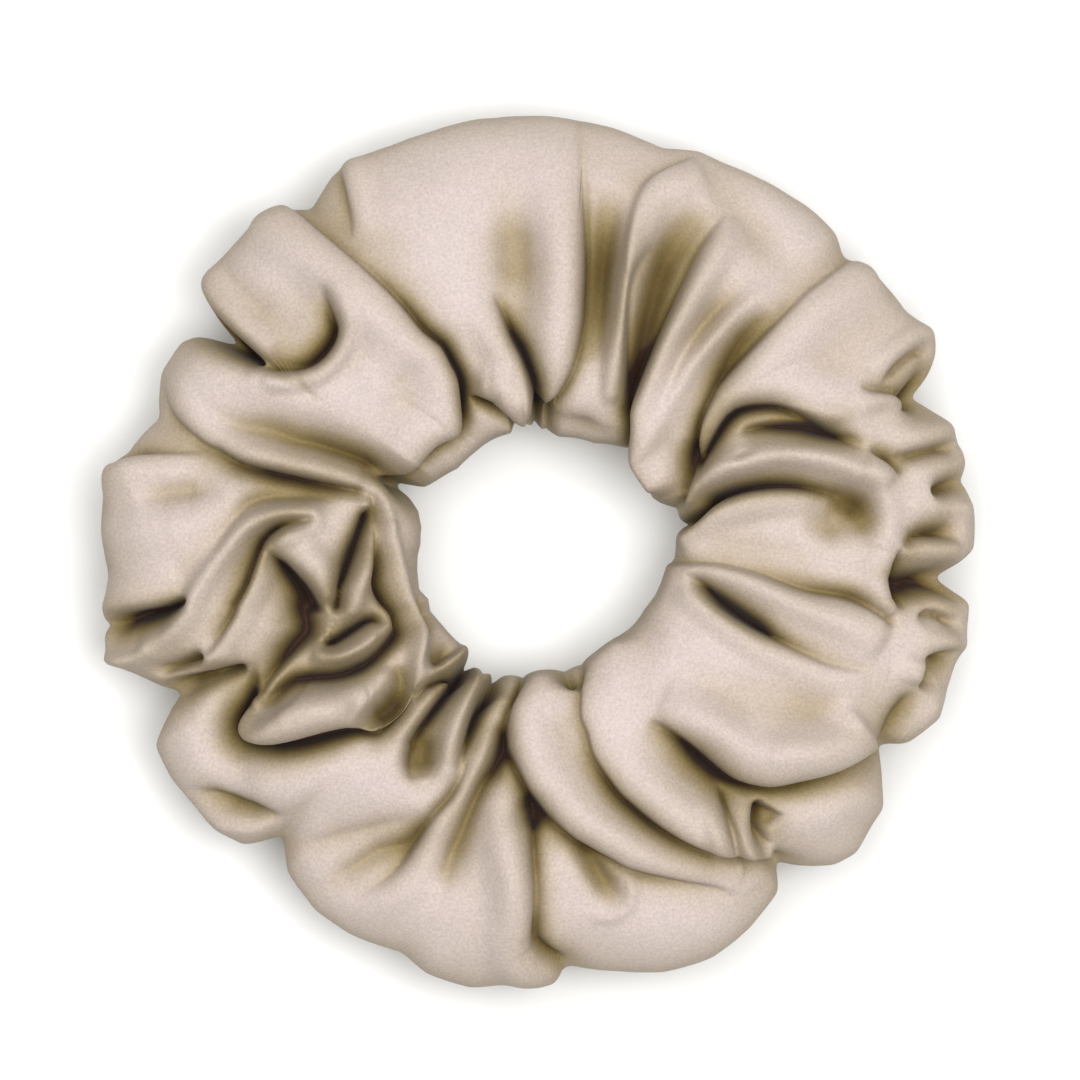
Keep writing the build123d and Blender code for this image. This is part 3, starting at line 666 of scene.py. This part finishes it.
def make_mesh(name, vertices, faces):
    """A smooth-shaded object from vertices in metres and faces of equal side count."""
    mesh = bpy.data.meshes.new(name)
    mesh.vertices.add(len(vertices))
    mesh.vertices.foreach_set("co", np.asarray(vertices, np.float32).ravel())
    sides = faces.shape[1]
    mesh.loops.add(faces.size)
    mesh.loops.foreach_set("vertex_index", faces.astype(np.int32).ravel())
    mesh.polygons.add(len(faces))
    mesh.polygons.foreach_set("loop_start", np.arange(0, faces.size, sides, dtype=np.int32))
    mesh.polygons.foreach_set("use_smooth", np.ones(len(faces), bool))
    mesh.update()
    mesh.validate()
    piece = bpy.data.objects.new(name, mesh)
    bpy.context.scene.collection.objects.link(piece)
    return piece


def lining_of(points):
    """The cloth's inner face. It is set back along the way the cloth faces on average, so that no crease
    pokes through."""
    normals = grid_normals(points)
    ways = np.stack([blurred(normals[..., k], 2.5, 2.5) for k in range(3)], -1)
    return points - CLOTH * ways / np.linalg.norm(ways, axis=-1, keepdims=True)


def seam_walls(points):
    """Radius of the opening's wall at the long seam's height, for each column."""
    radius = np.hypot(points[..., 0], points[..., 1])
    near = np.abs(points[..., 2] - SEAM_HEIGHT) < 0.8
    return blurred(np.where(near, radius, 99).min(0)[None], 0, 3)[0]


def seam_allowances(points, walls):
    """The plies inside the tube at the long seam and at the end seam, each as a closed grid."""
    turn = np.linspace(0, tau, points.shape[1], endpoint=False)
    wave = 0.15 * np.sin(31 * turn) + 0.1 * np.sin(53 * turn)
    rim = end_section(points)
    long_seam, end_seam = [], []
    corners = ((SEAM_START, -1), (SEAM_ALLOWANCE, -1), (SEAM_ALLOWANCE, 1), (SEAM_START, 1))
    for reach, side in corners:
        radius = walls + reach
        height = SEAM_HEIGHT + side * SEAM_PLY / 2 + wave * reach / SEAM_ALLOWANCE
        long_seam.append(np.stack([radius * np.cos(turn), radius * np.sin(turn), height], -1))
        end_seam.append(inset(rim, reach) + side * SEAM_PLY / 2 * ACROSS_JOIN)
    return np.stack(long_seam), np.stack(end_seam)


def end_section(points):
    """The tube's outline where its two ends meet."""
    return points[:, round(JOIN_ANGLE / 360 * points.shape[1])]


def inset(loop, reach):
    """A closed outline drawn in towards its middle."""
    away = loop - loop.mean(0)
    length = np.linalg.norm(away, axis=1, keepdims=True)
    return loop.mean(0) + away * (length - reach) / length


def painted_shade_depth(points, lift):
    """Painted shade for the satin's colour at each point, from 0 on the crowns to 1: darker where the cloth
    hides the sky, deep in the folds and on slopes.
    """
    sunk = np.clip(blurred(lift, 11, 16) - lift, 0, 8)
    slope = blurred(1 - np.clip(grid_normals(points)[..., 2], 0, 1), 5, 8)
    return (0.53 * (1 - openness(points)) + 0.135 * sunk + 0.33 * slope).ravel()


def satin_cover():
    """The cloth with its lining side and its seam allowances, and the grid of its outer face."""
    points, lift = cover_surface()
    points = smooth_grid(points, 2)
    # painted shade for each point of the outer face, carried into the satin's colour
    depth = painted_shade_depth(points, lift)
    # the lining and seam allowances take an even middling painted shade
    inside_painted_shade = 0.5
    long_seam, end_seam = seam_allowances(points, seam_walls(points))
    vertices, faces, painted_shade_values = [], [], []
    for grid, flip in ((points, False), (lining_of(points), True), (long_seam, False), (end_seam, False)):
        faces.append(grid_faces(*grid.shape[:2], sum(map(len, vertices)), flip))
        vertices.append(grid.reshape(-1, 3))
        same = len(depth) == len(vertices[-1])
        painted_shade_values.append(depth if same else np.full(len(vertices[-1]), inside_painted_shade))
    piece = make_mesh("satin_cloth", np.vstack(vertices) * MM, np.vstack(faces))
    # the painted shade is stored on each point for the satin's colour
    attribute = piece.data.attributes.new("painted_shade_depth", "FLOAT", "POINT")
    attribute.data.foreach_set("value", np.concatenate(painted_shade_values).astype(np.float32))
    return piece, points


# The elastic and the threads


def polar_path(radius, angle, height):
    """Places in space from radius, angle in degrees, and height."""
    turn = np.radians(angle)
    return np.stack([radius * np.cos(turn), radius * np.sin(turn), height + 0 * turn], -1)


def run_along(path):
    """Distance along a path to each of its places."""
    return np.concatenate([[0], np.cumsum(np.linalg.norm(np.diff(path, axis=0), axis=1))])


def swept(name, rings, closed=False):
    """A skin over a run of rings, with both ends closed if the run isn't a loop."""
    count, sides = rings.shape[:2]
    skin = grid_faces(count, sides)
    if not closed:
        skin = skin[: (count - 1) * sides]
        fan = np.array([[0, k, k + 1, k + 2] for k in range(1, sides - 1, 2)])
        skin = np.vstack([skin, fan, (count - 1) * sides + fan[:, ::-1]])
    return make_mesh(name, rings.reshape(-1, 3) * MM, skin[:, ::-1])


def elastic_band():
    """A braided elastic: lengthwise ribs, each with the slant of its yarns."""
    run = np.linspace(0, 360 + LAP_ANGLE, 1000)[:, None]
    centre = BAND_RADIUS + LAP_RISE * smoothstep(360 - RAMP_ANGLE, 360, run)
    across = np.linspace(-1, 1, 48)
    across = np.concatenate([across, across[::-1]])[None]
    side = np.where(np.arange(across.size) < across.size // 2, 1, -1)[None]
    place = (across + 1) / 2 * BAND_RIBS
    rib = np.abs(np.sin(pi * place))
    slant_way = side * np.where(np.floor(place) % 2, 1, -1)
    length = run * pi / 180 * BAND_RADIUS
    slant = np.sin(tau * (length / YARN_PITCH + 0.5 * slant_way * (place % 1)))
    edge = np.sqrt(1 - 0.98 * np.abs(across) ** 16)  # thins the strip at its two edges
    half = (0.38 + 0.08 * rib + 0.04 * slant * rib) * BAND_THICKNESS * edge
    angle = JOIN_ANGLE - LAP_ANGLE / 2 + run + 0 * across
    rings = polar_path(centre + side * half, angle, BAND_HEIGHT + across * BAND_WIDTH / 2)
    return swept("woven_elastic", rings)


def thread(name, path, closed=False):
    """A thread of two plies twisted together along a path."""
    ways = np.roll(path, -1, 0) - np.roll(path, 1, 0)
    if not closed:
        ways[0], ways[-1] = path[1] - path[0], path[-1] - path[-2]
    ways /= np.linalg.norm(ways, axis=1, keepdims=True)
    side = np.cross(ways[0], (0.31, 0.22, 0.93))  # any way that no thread here starts along
    sides = []
    for way in ways:
        side = side - way * side.dot(way)
        side /= np.linalg.norm(side)
        sides.append(side)
    sides = np.array(sides)[:, None]
    other = np.cross(ways[:, None], sides)
    turn = np.linspace(0, tau, 10, endpoint=False)[None]
    twist = tau * run_along(path)[:, None] / THREAD_TWIST
    radius = (THREAD_RADIUS * (0.86 + 0.14 * np.cos(2 * (turn - twist))))[..., None]
    rings = path[:, None] + radius * (np.cos(turn)[..., None] * sides + np.sin(turn)[..., None] * other)
    return swept(name, rings, closed)


def zigzag_thread(name, outside):
    """One of the two threads of the zigzag over the elastic's lap, which tie in the middle of the lap."""
    lay = BAND_THICKNESS / 2 + THREAD_REST + THREAD_RADIUS
    surface = BAND_RADIUS + LAP_RISE + lay if outside else BAND_RADIUS - lay
    tie = BAND_RADIUS + LAP_RISE / 2 + (THREAD_RADIUS if outside else -THREAD_RADIUS)
    spread = 0.8 * LAP_ANGLE
    corners = []
    for k in range(ZIGZAG_LEGS + 1):
        angle = JOIN_ANGLE - spread / 2 + spread * k / ZIGZAG_LEGS
        corners.append((angle, BAND_HEIGHT + (k % 2 - 0.5) * ZIGZAG_HEIGHT))
    points = []
    for k, (angle, level) in enumerate(corners):
        # lies on the elastic towards the last corner, goes down to the tie, and comes up towards the next
        for neighbour, depth in ((max(k - 1, 0), surface), (k, tie), (min(k + 1, ZIGZAG_LEGS), surface)):
            near = 0.06 if neighbour != k else 0
            turn = angle + near * (corners[neighbour][0] - angle)
            points.append(polar_path(depth, turn, level + near * (corners[neighbour][1] - level)))
    return thread(name, smooth_curve(points, spacing=0.1, least=3))


def stitch_dip(run):
    """How far a running stitch is down in the cloth, at each distance along it."""
    return STITCH_DIP * np.exp(-(((run / STITCH_LENGTH) % 1 - 0.5) / 0.07) ** 2)


def long_seam_thread(name, walls, side):
    """The thread above (side 1) or under (side -1) the long seam's allowance."""
    angle = np.linspace(JOIN_ANGLE + TURNING_GAP, JOIN_ANGLE + 358, 1100)
    wall = np.interp(angle, np.linspace(0, 360, len(walls), endpoint=False), walls, period=360)
    dip = stitch_dip(np.radians(angle) * (BAND_RADIUS - STITCH_LENGTH))
    lift = SEAM_PLY / 2 + THREAD_REST + THREAD_RADIUS - dip
    return thread(name, polar_path(wall + STITCH_BITE, angle, SEAM_HEIGHT + side * lift))


def end_seam_thread(name, points, side):
    """The thread of one side of the end seam, a loop round the tube's section."""
    loop = inset(end_section(points), STITCH_BITE)
    loop = np.stack([blurred(loop[:, k][None], 0, 6)[0] for k in range(3)], -1)
    loop = smooth_curve(np.vstack([loop[::4], loop[:1]]), spacing=0.12, least=3)[:-1]
    lift = SEAM_PLY / 2 + THREAD_REST + THREAD_RADIUS - stitch_dip(run_along(loop))
    return thread(name, loop + side * lift[:, None] * ACROSS_JOIN, closed=True)


def slip_stitch_thread(name, points):
    """The hand thread across the last part of the long seam, a ladder with a small knot at each end."""
    first = JOIN_ANGLE + 3
    step = (TURNING_GAP - 4) / HAND_STITCHES
    radius = np.hypot(points[..., 0], points[..., 1])
    places = []
    for stitch in range(HAND_STITCHES + 1):
        angle, height = first + stitch * step, SEAM_HEIGHT + (stitch % 2 - 0.5) * HAND_STITCH_HEIGHT
        column = round(angle / 360 * points.shape[1])
        near = np.abs(points[:, column, 2] - height) < 0.5
        places.append(polar_path(radius[near, column].min() - THREAD_RADIUS, angle, height))
    ladder = []
    for here, after in zip(places, places[1:]):
        ladder += [here, here + 0.15 * (after - here), here + 0.85 * (after - here)]
    spin = np.linspace(0, 2.5 * tau, 26)[:, None]
    coil = 0.28 * np.hstack([np.cos(spin), 0.6 * np.sin(2 * spin), np.sin(spin)])
    path = np.vstack([places[0] + coil[:-3], ladder, places[-1] + coil[3:]])
    return thread(name, smooth_curve(path, spacing=0.08, least=3))


# Materials


def set_inputs(node, values):
    for name, value in values.items():
        node.inputs[name].default_value = value


def new_material(name, roughness, sheen=0.0, specular=0.5):
    """A material, its nodes and links, and its shader."""
    material = bpy.data.materials.new(name)
    material.use_nodes = True
    shader = material.node_tree.nodes["Principled BSDF"]
    set_inputs(shader, {"Roughness": roughness, "Sheen Weight": sheen, "Specular IOR Level": specular})
    return material, material.node_tree.nodes, material.node_tree.links, shader


def noise_node(nodes, links, scale, detail):
    """Noise that stays with the piece."""
    coordinate = nodes.new("ShaderNodeTexCoord")
    noise = nodes.new("ShaderNodeTexNoise")
    set_inputs(noise, {"Scale": scale, "Detail": detail})
    links.new(coordinate.outputs["Object"], noise.inputs["Vector"])
    return noise


def add_bump(nodes, links, shader, noise, strength, distance):
    bump = nodes.new("ShaderNodeBump")
    set_inputs(bump, {"Strength": strength, "Distance": distance})
    links.new(noise.outputs["Fac"], bump.inputs["Height"])
    links.new(bump.outputs["Normal"], shader.inputs["Normal"])


def satin_material():
    """Matt satin, pink beige on the crowns; painted shade turns it olive and then dark brown down in the
    folds and on the slopes.
    """
    material, nodes, links, shader = new_material("champagne_satin", 0.7, sheen=0.06, specular=0.2)
    # painted shade: the ramp darkens the satin's colour from pink beige to olive and dark brown where the
    # cloth is shaded
    fold = nodes.new("ShaderNodeAttribute")
    fold.attribute_name = "painted_shade_depth"
    colour = nodes.new("ShaderNodeValToRGB")
    colour.color_ramp.elements[0].color = (0.55, 0.467, 0.44, 1)
    colour.color_ramp.elements[1].color = (0.036, 0.016, 0.009, 1)
    painted_shade_stops = (
        (0.14, (0.485, 0.405, 0.345)),
        (0.36, (0.342, 0.273, 0.182)),
        (0.58, (0.232, 0.175, 0.08)),
        (0.82, (0.115, 0.077, 0.02)),
    )
    for place, shade in painted_shade_stops:
        colour.color_ramp.elements.new(place).color = (*shade, 1)
    links.new(fold.outputs["Fac"], colour.inputs["Fac"])
    speckle = noise_node(nodes, links, scale=2600, detail=3)
    tone = nodes.new("ShaderNodeMapRange")
    set_inputs(tone, {"From Min": 0.3, "From Max": 0.7, "To Min": 0.87, "To Max": 1.09})
    links.new(speckle.outputs["Fac"], tone.inputs["Value"])
    tinted = nodes.new("ShaderNodeVectorMath")
    tinted.operation = "SCALE"
    links.new(colour.outputs["Color"], tinted.inputs[0])
    links.new(tone.outputs["Result"], tinted.inputs["Scale"])
    links.new(tinted.outputs["Vector"], shader.inputs["Base Color"])
    grain = noise_node(nodes, links, scale=1800, detail=2)
    add_bump(nodes, links, shader, grain, strength=0.5, distance=0.1 * MM)
    return material


def yarn_material(name, colour, scale):
    """Matt spun yarn: a tone that wanders, over fine fibres."""
    material, nodes, links, shader = new_material(name, 0.85, sheen=0.2, specular=0.2)
    wander = noise_node(nodes, links, scale, detail=4)
    tint = nodes.new("ShaderNodeValToRGB")
    tint.color_ramp.elements[0].position, tint.color_ramp.elements[1].position = 0.3, 0.7
    tint.color_ramp.elements[0].color = (*[0.72 * c for c in colour], 1)
    tint.color_ramp.elements[1].color = (*colour, 1)
    links.new(wander.outputs["Fac"], tint.inputs["Fac"])
    links.new(tint.outputs["Color"], shader.inputs["Base Color"])
    fibres = noise_node(nodes, links, 12 * scale, detail=2)
    add_bump(nodes, links, shader, fibres, strength=0.4, distance=0.05 * MM)
    return material


# Stage


def camera():
    """Straight above the ring and far away, as the photo was taken."""
    distance, view_width, shift, sensor = 1.4, 0.1486, 0.00124, 36
    data = bpy.data.cameras.new("camera")
    data.lens = sensor * distance / view_width
    data.clip_end = 20
    view = bpy.data.objects.new("camera", data)
    view.location = (0, shift, MID_HEIGHT + distance)
    bpy.context.scene.collection.objects.link(view)
    bpy.context.scene.camera = view


def area_light(name, place, size, power):
    """A square light that shines on the ring."""
    data = bpy.data.lights.new(name, "AREA")
    data.energy, data.size = power, size
    light = bpy.data.objects.new(name, data)
    light.location = place
    light.rotation_euler = (-Vector(place)).to_track_quat("-Z", "Y").to_euler()
    bpy.context.scene.collection.objects.link(light)


def stage():
    """A pale paper floor and soft light."""
    bpy.ops.mesh.primitive_plane_add(size=6)
    floor = bpy.context.object
    floor.name = "floor"
    material, _, _, shader = new_material("floor_paper", 0.8, specular=0.2)
    set_inputs(shader, {"Base Color": (0.85, 0.85, 0.84, 1)})
    floor.data.materials.append(material)
    world = bpy.data.worlds.new("studio")
    bpy.context.scene.world = world
    world.use_nodes = True
    set_inputs(world.node_tree.nodes["Background"], {"Color": (1, 0.99, 0.97, 1), "Strength": 0.12})
    area_light("key", (0.45, -0.1, 1.2), size=0.7, power=8)
    area_light("top", (-0.1, 0.15, 1.3), size=1.5, power=23)
    bpy.context.scene.view_settings.view_transform = "Standard"


camera()
stage()
cover, points = satin_cover()
walls = seam_walls(points)
satin = satin_material()
elastic = yarn_material("off_white_elastic", (0.78, 0.76, 0.72), 900)
white = yarn_material("white_thread", (0.8, 0.78, 0.74), 2500)
beige = yarn_material("beige_thread", (0.5, 0.41, 0.31), 2500)
pieces = [
    (cover, "satin_cover", "satin", satin),
    (elastic_band(), "elastic_band", "elastic", elastic),
    (zigzag_thread("zigzag_needle_thread", True), "elastic_join_needle_thread", "white_thread", white),
    (zigzag_thread("zigzag_bobbin_thread", False), "elastic_join_bobbin_thread", "white_thread", white),
    (long_seam_thread("long_needle_thread", walls, 1), "long_seam_needle_thread", "beige_thread", beige),
    (long_seam_thread("long_bobbin_thread", walls, -1), "long_seam_bobbin_thread", "beige_thread", beige),
    (end_seam_thread("end_needle_thread", points, 1), "end_seam_needle_thread", "beige_thread", beige),
    (end_seam_thread("end_bobbin_thread", points, -1), "end_seam_bobbin_thread", "beige_thread", beige),
    (slip_stitch_thread("ladder_thread", points), "slip_stitch_thread", "beige_thread", beige),
]
for piece, node, slot, material in pieces:
    piece.data.materials.append(material)
    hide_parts(node)
    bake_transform(piece)
